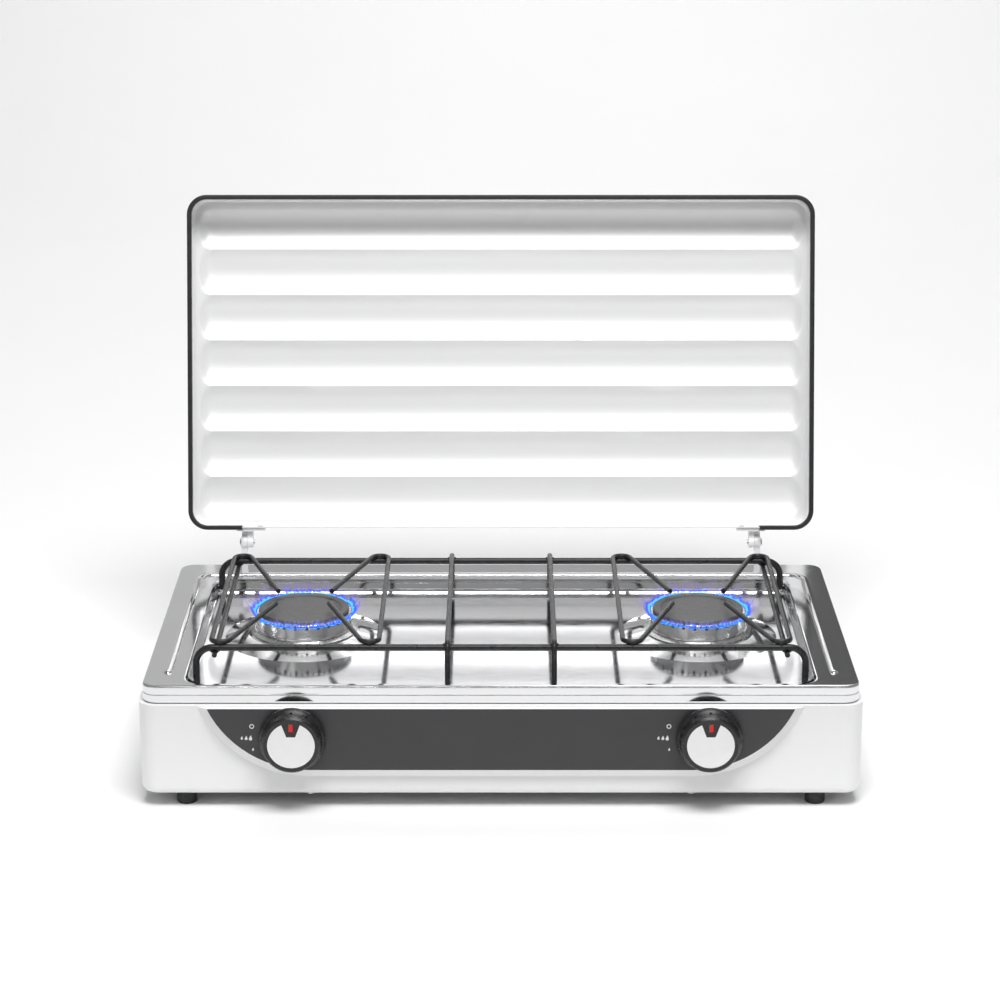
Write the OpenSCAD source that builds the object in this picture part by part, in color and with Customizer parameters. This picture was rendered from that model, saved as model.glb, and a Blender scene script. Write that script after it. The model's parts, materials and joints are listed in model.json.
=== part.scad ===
// Two-burner table-top camping stove with a ribbed lid on two rear hinges.
// Millimetres. +X is to the cook's right, +Y is away from the cook, +Z is up.
// The origin is on the standing plane, at the centre of the hob plate.

/* [Housing] */
// Width of the sheet-steel housing
body_w = 566; // [550:1:600]
// Depth of the housing
body_d = 308; // [300:1:330]
// Height of the housing's underside above the table
foot_h = 11; // [8:0.5:16]
// Height of the housing's top edge, under the plate's lip
body_top = 86; // [82:0.5:90]
// Radius of the housing's upright corners
body_r = 14; // [8:1:20]
// Thickness of the sheet steel
sheet = 0.8; // [0.6:0.1:1.2]

/* [Control panel] */
// How far the control panel stands proud of the housing
boss_out = 5; // [3:0.5:7]
// Half of the control panel's length along its top edge
boss_half = 228; // [215:1:240]
// Height of the panel's lower edge above the table
boss_low = 34.5; // [30:0.5:40]
// Height of the panel's upper edge above the table
boss_high = 85; // [82:0.5:85.5]
// Radius of the two swept ends
boss_r = 86; // [80:1:95]
// Width of the slope round the panel
boss_slope = 8; // [5:0.5:10]

/* [Hob plate] */
// Width of the hob plate
plate_w = 560; // [548:1:564]
// Depth of the hob plate
plate_d = 302; // [296:1:306]
// Height of the plate's rim above the table
plate_top = 101; // [100:0.5:103]
// Width of the sunken tray
tray_w = 496; // [490:1:500]
// Front edge of the tray
tray_front = -146; // [-147:0.5:-140]
// Rear edge of the tray
tray_rear = 111; // [108:0.5:113]
// Depth of the tray's floor below the rim
tray_deep = 9; // [8:0.5:9.5]

/* [Burners] */
// Distance of each burner from the middle
burner_x = 162; // [160:0.5:164]
// Place of the burners from front to back
burner_y = -8; // [-10:0.5:-6]
// Radius of the burner caps
cap_r = 37; // [35:0.5:38]
// Slots round each flame ring
flame_slots = 26; // [20:2:30]

/* [Pan supports] */
// Wire diameter of the two long rails
rail_d = 5.5; // [5:0.1:6]
// Wire diameter of the lighter wires
wire_d = 4.2; // [3.8:0.1:4.6]
// Height of the lighter wires above the plate's rim
wire_up = 23.8; // [23:0.1:25]
// Distance of the rail legs from the middle
leg_x = 240; // [238:0.5:242]
// Distance of the cross wires from the middle
cross_x = 42; // [30:1:60]

/* [Lid] */
// Width of the lid
lid_w = 545; // [540:1:552]
// Length of the lid from hinge to front edge
lid_d = 291; // [286:1:294]
// Height of the lid with its ribs
lid_h = 38; // [36:0.5:42]
// Number of pressed ribs
ribs = 7; // [5:1:9]
// Angle between the closed and the open lid
lid_open = 104.4; // [95:0.1:108]
// Distance of the hinges from the middle
hinge_x = 225; // [200:1:240]

/* [Knobs] */
// Height of the knobs above the table
knob_z = 62; // [58:0.5:64]
// Radius of a knob's skirt
knob_r = 26; // [24:0.5:27]
// How far a knob pushes in
knob_push = 2.5; // [1:0.5:2.5]

/* [Hidden] */

$fn = 64;
gap = 0.3;                            // air between parts that move past each other
fit = 0.05;                           // radial clearance of a shaft in its hole

body_front = -body_d / 2;
body_rear = body_d / 2;
face_y = body_front - boss_out;       // front of the raised panel
panel_t = 1;                          // thickness of the dark control panel
panel_y = face_y - panel_t;
floor_z = plate_top - tray_deep;      // top of the tray's floor
plate_r = 12;
tray_r = 14;
tray_d = tray_rear - tray_front;
tray_mid = (tray_rear + tray_front) / 2;
tray_slope = 4;                       // how far the tray's wall leans in

cone_r = 65;                          // outer radius of the raised ring round a burner
cone_top_r = 46;
cone_up = 5.5;                        // rise of the ring above the tray's floor
throat_r = 30;                        // hole in the plate under a burner
ring_r = 39;
ring_top = plate_top + 12.6;
ring_low = plate_top - 0.8;
cap_top = plate_top + 15.2;
slot_deep = 4;

wire_z = plate_top + wire_up;
rail_z = wire_z - (rail_d + wire_d) / 2 + 0.2;
rod_z = rail_z - (rail_d + wire_d) / 2 + 0.2;
rail_front = burner_y - 108;
rail_rear = burner_y + 109.5;
leg_foot = floor_z + 0.6;

lid_rim = plate_top + 0.4;            // underside of the closed lid's edge trim
lid_r = 17;                           // corner radius of the lid
lid_t = 0.8;
lid_deck = 32;                        // height of the creases between the ribs
lid_round = 8;                        // bend between the lid's wall and its top
rib_margin = 9.5;
rib_pitch = (lid_d - 2 * rib_margin + 6) / ribs;
trim_h = 9;
trim_w = 3.8;
hinge_y = 157;
hinge_z = plate_top + 18.5;
pin_r = 2;
eye_r = 5;
eye_w = 5;

pipe_y = -128;
pipe_r = 6;
jet_y = -98;
mixer_r = 9;
plug_r = 6;
spindle_r = 3;
knob_back = panel_y - knob_push - 0.5;
knob_front = knob_back - 15;
knob_face_r = 18.4;
pointer_w = 3.2;                      // red mark on a knob
pointer_l = 6;
pointer_low = 11.5;
cup_low = knob_z - 14;
inlet_x = 236;
inlet_z = knob_z - 14;                // height of the manifold and of the gas inlet

// Points along an arc, from one angle to another.
function arc(c, r, from, to, n = 8) =
  [for (i = [0:n]) c + r * [cos(from + (to - from) * i / n), sin(from + (to - from) * i / n)]];

function unit(v) = v / norm(v);

// A vector square to v.
function square_to(v) = unit(cross(v, abs(v[2]) < 0.9 * norm(v) ? [0, 0, 1] : [1, 0, 0]));

// Places its children with their x, y and z axes along three unit vectors.
module place(o, x, y) {
  z = cross(x, y);
  multmatrix([[x[0], y[0], z[0], o[0]], [x[1], y[1], z[1], o[1]], [x[2], y[2], z[2], o[2]], [0, 0, 0, 1]])
    children();
}

// A straight round bar from a to b.
module rod(a, b, d) {
  w = unit(b - a);
  u = square_to(w);
  place(a, u, cross(w, u)) cylinder(h = norm(b - a), d = d);
}

// One round bend at the corner p, between the directions u and v.
module bend(p, u, v, r, d) {
  turn = acos(u * v);
  start = p - u * r * tan(turn / 2);
  side = cross(unit(cross(u, v)), u);
  place(start + side * r, -side, u) rotate_extrude(angle = turn) translate([r, 0]) circle(d = d);
}

// A bent wire through a list of corners, with every bend of radius r.
module wire(p, d, r) {
  last = len(p) - 1;
  dirs = [for (i = [0:last - 1]) unit(p[i + 1] - p[i])];
  cuts = [for (i = [0:last]) i == 0 || i == last ? 0 : r * tan(acos(dirs[i - 1] * dirs[i]) / 2)];
  union() {
    for (i = [0:last - 1]) rod(p[i] + dirs[i] * cuts[i], p[i + 1] - dirs[i] * cuts[i + 1], d);
    for (i = [1:last - 1]) bend(p[i], dirs[i - 1], dirs[i], r, d);
  }
}

// Centre line of a bent wire, with n steps round each bend of radius r.
function wire_path(p, r, n) = let (
  last = len(p) - 1,
  dirs = [for (i = [0:last - 1]) unit(p[i + 1] - p[i])],
  arcs = [for (i = [1:last - 1]) let (
    u = dirs[i - 1],
    turn = acos(u * dirs[i]),
    side = cross(unit(cross(u, dirs[i])), u),
    c = p[i] - u * r * tan(turn / 2) + side * r
  ) each [for (k = [0:n]) c - side * r * cos(turn * k / n) + u * r * sin(turn * k / n)]]
) concat([p[0]], arcs, [p[last]]);

// A bent wire that lies level, swept as one body.
module level_wire(p, d, r) {
  sides = 20;
  path = wire_path(p, r, 8);
  last = len(path) - 1;
  ways = [for (i = [0:last - 1]) unit(path[i + 1] - path[i])];
  tangents = [for (i = [0:last]) unit(ways[max(i - 1, 0)] + ways[min(i, last - 1)])];
  pts = [for (i = [0:last], k = [0:sides - 1]) let (b = 360 * k / sides)
    path[i] + d / 2 * (cos(b) * cross(tangents[i], [0, 0, 1]) + sin(b) * [0, 0, 1])];
  walls = [for (i = [0:last - 1], k = [0:sides - 1]) let (j = (k + 1) % sides)
    [i * sides + k, i * sides + j, (i + 1) * sides + j, (i + 1) * sides + k]];
  caps = [[for (k = [0:sides - 1]) sides - 1 - k], [for (k = [0:sides - 1]) last * sides + k]];
  polyhedron(points = pts, faces = concat(walls, caps), convexity = 6);
}

// A rounded rectangle built without hull, so that its corners stay true arcs.
module true_rounded(w, d, r) {
  union() {
    square([w - 2 * r, d], center = true);
    square([w, d - 2 * r], center = true);
    for (x = [-1, 1], y = [-1, 1]) translate([x * (w / 2 - r), y * (d / 2 - r)]) circle(r);
  }
}

// A slot of width w and overall length l, with round ends.
module slot(w, l) {
  union() {
    square([w, l - w], center = true);
    for (s = [-1, 1]) translate([0, s * (l - w) / 2]) circle(w / 2);
  }
}

// Carries a profile round a rounded rectangle. The profile's x is outwards from the outline.
module carry_round(w, d, r) {
  for (k = [0:3]) {
    off = k % 2 == 0 ? w / 2 : d / 2;
    run = (k % 2 == 0 ? d : w) - 2 * r;
    sx = k == 0 || k == 3 ? 1 : -1;
    sy = k < 2 ? 1 : -1;
    rotate(90 * k) translate([off, run / 2, 0]) rotate([90, 0, 0]) linear_extrude(run) children();
    translate([sx * (w / 2 - r), sy * (d / 2 - r), 0]) rotate(90 * k)
      rotate_extrude(angle = 90) translate([r, 0]) children();
  }
}

// The raised panel's outline, grown by the margin m at its ends and its lower edge.
module panel_outline(m = 0, top = boss_high) {
  flat_half = boss_half - sqrt(pow(boss_r, 2) - pow(boss_r - (boss_high - boss_low), 2));
  centre = boss_low + boss_r;
  r = boss_r + m;
  reach = asin((centre - top) / r);
  polygon(concat(
    arc([flat_half, centre], r, -90, -reach, 14),
    arc([-flat_half, centre], r, -180 + reach, -90, 14)
  ));
}

// Stands a flat outline up in the XZ plane, with its front at y and its thickness behind it.
module upright(y, t) {
  translate([0, y + t, 0]) rotate([90, 0, 0]) linear_extrude(t) children();
}

module housing_wall_profile() {
  r = 6;
  flange = 12;
  z0 = foot_h;
  outer = arc([-r, z0 + r], r, -90, 0, 6);
  inner = arc([-r, z0 + r], r - sheet, 0, -90, 6);
  polygon(concat([[-flange, z0]], outer, [[0, body_top]], [[-9, body_top], [-9, body_top - sheet],
    [-sheet, body_top - sheet]], inner, [[-flange, z0 + sheet]]));
}

module boss_solid(inset) {
  hull() {
    upright(face_y + inset, 0.01) panel_outline(-inset);
    upright(body_front + 0.2, 0.01) panel_outline(boss_slope - inset);
  }
}

module housing() {
  color("white") difference() {
    union() {
      carry_round(body_w, body_d, body_r) housing_wall_profile();
      boss_solid(0);
    }
    // hollow behind the raised panel
    difference() {
      hull() {
        upright(face_y + sheet, 0.01) panel_outline(-sheet, boss_high - sheet);
        upright(body_front + 3, 0.01) panel_outline(boss_slope - 2 * sheet, boss_high - sheet);
      }
    }
    for (s = [-1, 1]) {
      translate([s * burner_x, face_y - 1, knob_z]) rotate([-90, 0, 0]) cylinder(h = 12, r = 8);
      for (z = [64, 76])
        translate([s * hinge_x, body_rear - 3, z]) rotate([-90, 0, 0]) cylinder(h = 5, r = 2);
    }
    translate([inlet_x, body_rear - 3, inlet_z]) rotate([-90, 0, 0]) cylinder(h = 6, r = 6.3);
    for (p = base_screw_at) translate([p[0], p[1], foot_h - 1]) cylinder(h = 3, r = 1.6);
  }
}

module control_panel() {
  color([0.27, 0.27, 0.27]) difference() {
    upright(panel_y, panel_t) panel_outline(0);
    for (s = [-1, 1])
      translate([s * burner_x, panel_y - 1, knob_z]) rotate([-90, 0, 0]) cylinder(h = 3, r = 5);
  }
}

// A flame sign: a drop with its point up, h high, centred on the origin.
module flame_sign(h) {
  r = 0.3 * h;
  polygon(concat(arc([0, r - h / 2], r, -200, 20, 12), [[0.08 * h, h / 2]]));
}

// Off ring, high flame and low flame beside a knob, printed thickly enough to be a solid.
module dial_marks(x) {
  ink = 0.15;
  color("white") upright(panel_y - ink, ink) translate([x, knob_z]) {
    translate([-31.5, 9]) difference() {
      circle(1.9);
      circle(1.2);
    }
    for (i = [0:2]) translate([-39.5 + 3.4 * i, -0.5]) flame_sign(3 + 0.7 * i);
    translate([-31, -10]) flame_sign(2.6);
  }
}
module dial_marks_left() { dial_marks(-burner_x); }
module dial_marks_right() { dial_marks(burner_x); }

feet_x = 248;
feet_y = 139;
flange_x = body_w / 2 - 9.5;
flange_y = body_d / 2 - 9.5;
base_screw_at = [
  [-150, -flange_y], [150, -flange_y], [-150, flange_y], [150, flange_y],
  [-flange_x, 0], [flange_x, 0]
];

module base_plate() {
  z0 = foot_h + sheet;
  color("lightgray") translate([0, 0, z0]) linear_extrude(sheet) difference() {
    true_rounded(body_w - 12, body_d - 12, body_r - 4);
    for (x = [-1, 1], y = [-1, 1]) translate([x * feet_x, y * feet_y]) circle(3);
    for (p = base_screw_at) translate(p) circle(1.6);
    for (s = [-1, 1], i = [-3:3]) translate([s * burner_x + 16 * i, burner_y]) slot(6, 70);
  }
}

module base_screws() {
  color("gray") for (p = base_screw_at) translate([p[0], p[1], foot_h]) {
    translate([0, 0, -1.6]) cylinder(h = 1.6, r = 3);
    translate([0, 0, -0.2]) cylinder(h = 6, r = 1.5);
  }
}

// Rubber foot: a flat pad under the base, with a barbed stem through the sheet.
module foot(x, y) {
  color([0.1, 0.1, 0.1]) translate([x, y, 0]) rotate_extrude() polygon([
    [0, 0], [7.2, 0], [7.8, 0.8], [8, foot_h], [2.9, foot_h],
    [2.9, foot_h + 2 * sheet], [3.8, foot_h + 2 * sheet + 0.4], [2.2, foot_h + 5], [0, foot_h + 5]
  ]);
}
module foot_front_left() { foot(-feet_x, -feet_y); }
module foot_front_right() { foot(feet_x, -feet_y); }
module foot_rear_left() { foot(-feet_x, feet_y); }
module foot_rear_right() { foot(feet_x, feet_y); }

// Section of the plate's lip: two rolled bands with a crease between them.
module lip_profile() {
  t = sheet;
  z1 = plate_top;
  low = body_top + gap;
  half = (z1 - low) / 2;
  polygon(concat(
    arc([-2.2, z1 - 2.2], 2.2, 90, 0, 6),
    arc([-0.9, z1 - half + 0.8], 0.8, 0, -70, 4),
    arc([-0.9, z1 - half - 0.9], 0.8, 70, 0, 4),
    arc([-2, low + 2], 2, 0, -60, 5),
    arc([-2, low + 2], 2 - t, -60, 0, 5),
    arc([-0.9 - t, z1 - half - 0.9], 0.8, 0, 70, 4),
    arc([-0.9 - t, z1 - half + 0.8], 0.8, -70, 0, 4),
    arc([-2.2, z1 - 2.2], 2.2 - t, 0, 90, 6)
  ));
}

// Section of the tray's wall, from the plate's flat to the tray's floor.
module tray_wall_profile() {
  t = sheet;
  r = 2.5;
  z1 = plate_top;
  z0 = floor_z;
  lean = atan((tray_slope - 1) / (tray_deep - 2));
  a = 90 - lean;
  polygon(concat(
    arc([0, z1 - r], r, 90, 180 - a + 90, 6),
    arc([-tray_slope - r, z0 + r], r, 270 + a, 270, 6) ,
    arc([-tray_slope - r, z0 + r], r + t, 270, 270 + a, 6),
    arc([0, z1 - r], r - t, 180 - a + 90, 90, 6)
  ));
}

bead_x = 262;
bead_y = 122;
bead_front = -120;
bead_r = 4;
bead_sink = 2;

module spill_bead() {
  r = 16;
  z = plate_top - bead_sink;
  path = [[-bead_x, bead_front, z], [-bead_x, bead_y, z], [bead_x, bead_y, z], [bead_x, bead_front, z]];
  wire(path, 2 * bead_r, r);
  for (s = [-1, 1]) translate([s * bead_x, bead_front, z]) sphere(bead_r);
}

module burner_collar() {
  t = sheet;
  rotate_extrude() polygon([
    [throat_r, floor_z + cone_up - t], [cone_top_r - 3, floor_z + cone_up - t],
    [cone_top_r, floor_z + cone_up - 1 - t], [cone_r, floor_z - t], [cone_r + 2, floor_z - t],
    [cone_r + 2, floor_z], [cone_r, floor_z], [cone_top_r, floor_z + cone_up - 1],
    [cone_top_r - 3, floor_z + cone_up], [throat_r, floor_z + cone_up]
  ]);
}

module hob_plate() {
  t = sheet;
  lap = 2.5;
  color("silver") union() {
    carry_round(plate_w, plate_d, plate_r) lip_profile();
    translate([0, 0, plate_top - t]) linear_extrude(t) difference() {
      true_rounded(plate_w - 4.4, plate_d - 4.4, plate_r - 2.2);
      translate([0, tray_mid]) true_rounded(tray_w, tray_d, tray_r);
    }
    translate([0, tray_mid, 0]) carry_round(tray_w, tray_d, tray_r) tray_wall_profile();
    translate([0, 0, floor_z - t]) linear_extrude(t) difference() {
      translate([0, tray_mid]) true_rounded(tray_w - 2 * (tray_slope + lap), tray_d - 2 * (tray_slope + lap),
        tray_r - tray_slope - lap);
      for (s = [-1, 1]) translate([s * burner_x, burner_y]) circle(cone_r + 1);
    }
    for (s = [-1, 1]) translate([s * burner_x, burner_y, 0]) burner_collar();
    intersection() {
      spill_bead();
      translate([0, 0, plate_top - t]) linear_extrude(10) square([plate_w - 10, plate_d - 10], center = true);
    }
  }
}

module at_burner(s) {
  translate([s * burner_x, burner_y, 0]) children();
}

// Cast cup: a gas chamber under the plate, a throat through it and a flange on the collar.
module burner_cup(s) {
  collar = floor_z + cone_up + 0.1;
  wall = 2;
  color([0.75, 0.75, 0.76]) difference() {
    at_burner(s) rotate_extrude() polygon([
      [0, cup_low], [26, cup_low], [28, cup_low + 2], [28, collar], [cone_top_r - 3, collar],
      [cone_top_r - 2, collar + 0.8], [ring_r + 1.5, ring_low - gap], [24, ring_low - gap],
      [24, collar + 2], [26, collar], [26, cup_low + wall + 2], [24, cup_low + wall], [0, cup_low + wall]
    ]);
    translate([s * burner_x, burner_y, knob_z]) rotate([90, 0, 0]) cylinder(h = 40, r = mixer_r);
  }
}
module burner_cup_left() { burner_cup(-1); }
module burner_cup_right() { burner_cup(1); }

// Mixing tube from in front of the jet to the cup, with a flared mouth.
module mixer_tube(s) {
  wall = 1;
  mouth = jet_y + 4;
  len_y = burner_y - 24 - mouth;
  color([0.7, 0.7, 0.71]) translate([s * burner_x, mouth, knob_z]) rotate([-90, 0, 0])
    rotate_extrude() polygon([
    [mixer_r + 3 - wall, 0], [mixer_r + 3, 0], [mixer_r + 3, 5], [mixer_r - 2, 14], [mixer_r - 2, 22],
    [mixer_r, 34], [mixer_r, len_y], [mixer_r - wall, len_y], [mixer_r - wall, 34],
    [mixer_r - 2 - wall, 22], [mixer_r - 2 - wall, 14], [mixer_r + 3 - wall, 5]
  ]);
}
module mixer_tube_left() { mixer_tube(-1); }
module mixer_tube_right() { mixer_tube(1); }

// Ring with large and small flame slots by turns, cut down from its top edge.
module flame_ring(s) {
  color([0.82, 0.82, 0.83]) at_burner(s) difference() {
    rotate_extrude() polygon([
      [23.4, ring_low], [ring_r + 0.6, ring_low], [ring_r, ring_low + 1], [ring_r, ring_top - 0.4],
      [ring_r - 0.4, ring_top], [ring_r - 5, ring_top], [ring_r - 5, ring_low + 3], [23.4, ring_low + 3]
    ]);
    for (i = [0:flame_slots - 1]) {
      rotate(360 * i / flame_slots) translate([ring_r - 6, -1, ring_top - slot_deep])
        cube([8, 2, slot_deep + 1]);
      rotate(360 * (i + 0.5) / flame_slots) translate([ring_r - 6, -0.7, ring_top - slot_deep / 2])
        cube([8, 1.4, slot_deep]);
    }
  }
}
module flame_ring_left() { flame_ring(-1); }
module flame_ring_right() { flame_ring(1); }

// Enamelled cap: a dished disc with a skirt that centres it inside the ring.
module burner_cap(s) {
  low = ring_top;
  color([0.2, 0.2, 0.2]) at_burner(s) rotate_extrude() polygon([
    [0, low], [ring_r - 8, low], [ring_r - 8, low - 3], [ring_r - 5.3, low - 3], [ring_r - 5.3, low],
    [cap_r - 0.6, low], [cap_r, low + 0.7], [cap_r, cap_top - 0.7], [cap_r - 0.7, cap_top],
    [cap_r - 6, cap_top], [cap_r - 7.5, cap_top - 0.9], [0, cap_top - 0.9]
  ]);
}
module burner_cap_left() { burner_cap(-1); }
module burner_cap_right() { burner_cap(1); }

// Tap body with a bore for the plug and a saddle on the manifold.
module valve_body(s) {
  front = -150;
  back = jet_y - 6;
  color([0.78, 0.66, 0.35]) difference() {
    union() {
      translate([s * burner_x, front, knob_z]) rotate([-90, 0, 0]) cylinder(h = back - front, r = 10);
      translate([s * burner_x - 9, pipe_y - 8, inlet_z - 7]) cube([18, 16, 20]);
    }
    translate([s * burner_x, front + 3, knob_z]) rotate([-90, 0, 0]) cylinder(h = 24, r = plug_r + fit);
    translate([s * burner_x, front - 1, knob_z]) rotate([-90, 0, 0]) cylinder(h = 5, r = 4.2);
    translate([s * burner_x, back - 12, knob_z]) rotate([-90, 0, 0]) cylinder(h = 13, r = 3);
    translate([s * burner_x, back - 20, knob_z]) rotate([-90, 0, 0]) cylinder(h = 10, r = 1.5);
    translate([s * burner_x, pipe_y, inlet_z]) cylinder(h = 12, r = 1.5);
    translate([s * burner_x - 11, pipe_y, inlet_z]) rotate([0, 90, 0]) cylinder(h = 22, r = pipe_r);
  }
}
module valve_body_left() { valve_body(-1); }
module valve_body_right() { valve_body(1); }

// Brass jet with a hexagon, screwed into the back of the tap.
module gas_jet(s) {
  back = jet_y - 6;
  color([0.8, 0.68, 0.3]) translate([s * burner_x, back, knob_z]) rotate([-90, 0, 0]) difference() {
    union() {
      translate([0, 0, -8]) cylinder(h = 8, r = 3);
      cylinder(h = 4, r = 4.6, $fn = 6);
      translate([0, 0, 4]) cylinder(h = 4, r = 2.4);
    }
    translate([0, 0, -9]) cylinder(h = 15, r = 1.4);
    translate([0, 0, 5]) cylinder(h = 4, r = 0.4);
  }
}
module gas_jet_left() { gas_jet(-1); }
module gas_jet_right() { gas_jet(1); }

module manifold_pipe() {
  half = burner_x + 22;
  color("gray") difference() {
    translate([-half, pipe_y, inlet_z]) rotate([0, 90, 0]) cylinder(h = 2 * half, r = pipe_r);
    translate([-half + 2, pipe_y, inlet_z]) rotate([0, 90, 0]) cylinder(h = 2 * half, r = pipe_r - 1.5);
  }
}

// Bent feed from the end of the manifold to the bulkhead in the rear wall.
module inlet_pipe() {
  start = burner_x + 18;
  color([0.72, 0.45, 0.25]) wire([[start, pipe_y, inlet_z], [inlet_x, pipe_y, inlet_z],
    [inlet_x, body_rear - 4, inlet_z]], 8.6, 9);
}

module inlet_nut() {
  color([0.8, 0.68, 0.3]) translate([inlet_x, body_rear - sheet, inlet_z]) rotate([90, 0, 0]) difference() {
    cylinder(h = 6, r = 9.5, $fn = 6);
    translate([0, 0, -1]) cylinder(h = 8, r = 6);
  }
}

// Bulkhead fitting: a plain stub for an 8 mm bore gas hose, with a hexagon.
module hose_nozzle() {
  color([0.8, 0.68, 0.3]) translate([inlet_x, body_rear, inlet_z]) rotate([-90, 0, 0]) difference() {
    union() {
      translate([0, 0, -11.5]) cylinder(h = 12, r = 6);
      cylinder(h = 5, r = 9.5, $fn = 6);
      translate([0, 0, 5]) cylinder(h = 23, r = 4.3);
      translate([0, 0, 28]) cylinder(h = 2, r1 = 4.3, r2 = 3.4);
    }
    translate([0, 0, -1]) cylinder(h = 32, r = 2.6);
    translate([0, 0, -12]) cylinder(h = 11.5, r = 4.4);
  }
}

// Rotor of the tap, with a socket that the spindle slides in.
module gas_plug(s) {
  front = -146.7;
  color([0.7, 0.6, 0.35]) translate([s * burner_x, front, knob_z]) rotate([-90, 0, 0]) difference() {
    cylinder(h = 23, r = plug_r);
    translate([0, 0, -1]) cylinder(h = 9, r = 5.2);
    translate([0, 0, -1]) cylinder(h = 17, r = spindle_r + fit);
  }
}
module gas_plug_left() { gas_plug(-1); }
module gas_plug_right() { gas_plug(1); }

// Return spring round the spindle, swept as one closed coil.
module return_spring(s) {
  turns = 4;
  steps = 14;
  sides = 8;
  rings = turns * steps;
  coil_r = 4.1;
  coil_wire = 0.5;
  rise = 6.1;
  spine = [for (i = [0:rings]) [coil_r * cos(360 * i / steps), coil_r * sin(360 * i / steps), rise * i / rings]];
  pts = [for (i = [0:rings], k = [0:sides - 1]) let (a = 360 * i / steps, b = 360 * k / sides)
    spine[i] + coil_wire * [cos(b) * cos(a), cos(b) * sin(a), sin(b)]];
  walls = [for (i = [0:rings - 1], k = [0:sides - 1]) let (j = (k + 1) % sides)
    [i * sides + k, i * sides + j, (i + 1) * sides + j, (i + 1) * sides + k]];
  caps = [[for (k = [0:sides - 1]) sides - 1 - k], [for (k = [0:sides - 1]) rings * sides + k]];
  color("silver") translate([s * burner_x, -145.5, knob_z]) rotate([-90, 0, 0])
    polyhedron(points = pts, faces = concat(walls, caps), convexity = 6);
}
module return_spring_left() { return_spring(-1); }
module return_spring_right() { return_spring(1); }

// Spindle with a collar that the return spring presses on.
module spindle(s) {
  front = knob_front + 6;
  back = -133.5 - knob_push;
  color("silver") translate([s * burner_x, front, knob_z]) rotate([-90, 0, 0]) union() {
    cylinder(h = back - front, r = spindle_r);
    translate([0, 0, -146.6 - front]) cylinder(h = 0.5, r = 4.8);
  }
}
module spindle_left() { spindle(-1); }
module spindle_right() { spindle(1); }

// Outline of the white face: a disc with a notch above its middle for the pointer.
module face_outline(grow = 0) {
  difference() {
    circle(knob_face_r + grow);
    polygon([[-3.4 + grow, 7 + grow], [3.4 - grow, 7 + grow], [8.2 - grow, 20], [-8.2 + grow, 20]]);
  }
}

module knob(s) {
  depth = knob_back - knob_front;
  grip = 12;
  color([0.12, 0.12, 0.12]) translate([s * burner_x, knob_back, knob_z]) rotate([90, 0, 0]) difference() {
    rotate_extrude() polygon([
      [0, 0], [knob_r - 1, 0], [knob_r, 1], [knob_r, 3.5], [knob_r - 0.8, 4.6], [23.6, 6.5],
      [22.8, depth - 1.6], [21.4, depth], [0, depth]
    ]);
    translate([0, 0, -1]) cylinder(h = depth - 5, r = spindle_r);
    translate([0, 0, -1]) difference() {
      cylinder(h = depth - 4, r = 20);
      translate([0, 0, -1]) cylinder(h = depth, r = 7);
    }
    translate([0, 0, depth - 0.8]) linear_extrude(1) face_outline(0);
    for (i = [0:grip - 1]) rotate(360 * i / grip + 90) translate([23.2, -0.9, 6]) cube([3, 1.8, depth]);
    translate([-pointer_w / 2, pointer_low, depth - 0.5]) cube([pointer_w, pointer_l, 1]);
  }
}
module knob_left() { knob(-1); }
module knob_right() { knob(1); }

module knob_face(s) {
  color("white") translate([s * burner_x, knob_front + 0.8, knob_z]) rotate([90, 0, 0])
    linear_extrude(1.1) face_outline(0);
}
module knob_face_left() { knob_face(-1); }
module knob_face_right() { knob_face(1); }

module knob_pointer(s) {
  color("red") translate([s * burner_x - pointer_w / 2, knob_front - 0.3, knob_z + pointer_low])
    cube([pointer_w, 0.8, pointer_l]);
}
module knob_pointer_left() { knob_pointer(-1); }
module knob_pointer_right() { knob_pointer(1); }

// A long rail with a leg bent down at each end.
module rail(y, foot_z) {
  color([0.13, 0.13, 0.13]) wire([[-leg_x, y, foot_z], [-leg_x, y, rail_z], [leg_x, y, rail_z],
    [leg_x, y, foot_z]], rail_d, 13);
}
module grate_front_rail() { rail(rail_front, leg_foot); }
module grate_rear_rail() { rail(rail_rear, floor_z + 3.2); }

module grate_side_rods() {
  x = leg_x - rail_d - 0.5;
  color([0.13, 0.13, 0.13]) for (s = [-1, 1])
    rod([s * (x - 9), rail_front - 5, rod_z], [s * (x - 9), rail_rear + 5, rod_z], wire_d);
}

module grate_cross_wires() {
  over = 6;
  color([0.13, 0.13, 0.13]) for (s = [-1, 1]) {
    x = s * cross_x;
    front = rail_front - over;
    rear = rail_rear + over;
    wire([[x, front, leg_foot], [x, front, wire_z], [x, rear, wire_z], [x, rear, plate_top + 1]], wire_d, 6);
  }
}

// One pan support: two arms over the burner, joined by a side that bends over both rails.
module pan_support(s, out) {
  r = 7.5;
  side = s * burner_x + out * s * 66;
  tip = s * burner_x + out * s * 22;
  tip_y = 15.5;
  // where the arm's line meets the side's line, so that the bend just reaches the rail
  reach = function (to_rail) let (
    dx = 44 - r,
    dy = to_rail - r,
    lean = atan2(dx, dy) - asin(r / norm([dx, dy]))
  ) 44 / tan(lean);
  front = burner_y - tip_y - reach(burner_y - tip_y - rail_front);
  rear = burner_y + tip_y + reach(rail_rear - burner_y - tip_y);
  color([0.13, 0.13, 0.13]) level_wire([[tip, burner_y - tip_y, wire_z], [side, front, wire_z],
    [side, rear, wire_z], [tip, burner_y + tip_y, wire_z]], wire_d, r);
}
module pan_support_outer_left() { pan_support(-1, 1); }
module pan_support_inner_left() { pan_support(-1, -1); }
module pan_support_inner_right() { pan_support(1, -1); }
module pan_support_outer_right() { pan_support(1, 1); }

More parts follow.
